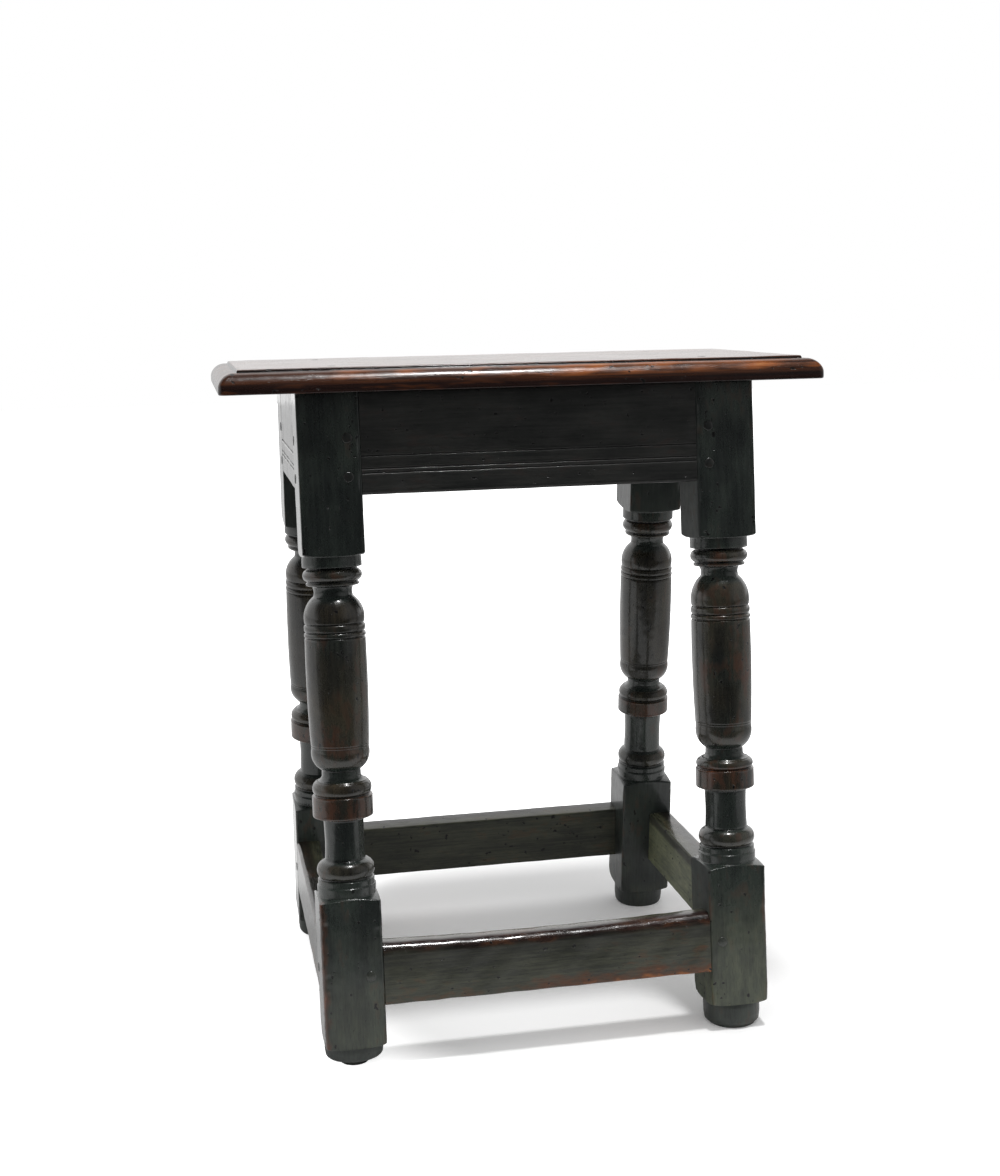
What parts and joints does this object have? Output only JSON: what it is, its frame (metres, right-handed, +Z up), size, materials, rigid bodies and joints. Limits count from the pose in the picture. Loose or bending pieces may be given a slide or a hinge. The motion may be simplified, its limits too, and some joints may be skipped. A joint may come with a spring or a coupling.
{
  "type": "joint stool",
  "caption": "Joined oak stool: a thumbnail-moulded board pegged on a frame of turned splayed legs, moulded rails and low stretchers, all mortised, tenoned and pegged.",
  "frame": {"origin": "on the floor, under the middle of the stool", "axes": "+X along the board to the right, +Y across the board to the back, +Z up"},
  "size_m": [0.49, 0.3358, 0.56],
  "materials": {
    "board": "waxed old oak, red-brown, worn bright on the moulded edge",
    "leg": "turned oak under a near-black patina, rubbed red-brown on the rings",
    "rail": "oak under a near-black patina, run moulding on the face",
    "stretcher": "dark oak, rubbed and worn by feet",
    "peg": "riven oak, dark, end grain showing"
  },
  "bodies": {
    "root": {"leg_back_left": "leg", "leg_back_right": "leg", "leg_front_left": "leg", "leg_front_right": "leg", "peg_board_back_left": "peg", "peg_board_back_right": "peg", "peg_board_front_left": "peg", "peg_board_front_right": "peg", "peg_rail_back_left_lower": "peg", "peg_rail_back_left_upper": "peg", "peg_rail_back_right_lower": "peg", "peg_rail_back_right_upper": "peg", "peg_rail_front_left_lower": "peg", "peg_rail_front_left_upper": "peg", "peg_rail_front_right_lower": "peg", "peg_rail_front_right_upper": "peg", "peg_rail_left_back_lower": "peg", "peg_rail_left_back_upper": "peg", "peg_rail_left_front_lower": "peg", "peg_rail_left_front_upper": "peg", "peg_rail_right_back_lower": "peg", "peg_rail_right_back_upper": "peg", "peg_rail_right_front_lower": "peg", "peg_rail_right_front_upper": "peg", "peg_stretcher_back_left_middle": "peg", "peg_stretcher_back_right_middle": "peg", "peg_stretcher_front_left_middle": "peg", "peg_stretcher_front_right_middle": "peg", "peg_stretcher_left_back_middle": "peg", "peg_stretcher_left_front_middle": "peg", "peg_stretcher_right_back_middle": "peg", "peg_stretcher_right_front_middle": "peg", "rail_back": "rail", "rail_front": "rail", "rail_left": "rail", "rail_right": "rail", "stretcher_back": "stretcher", "stretcher_front": "stretcher", "stretcher_left": "stretcher", "stretcher_right": "stretcher", "top_board": "board"}
  },
  "joints": []
}
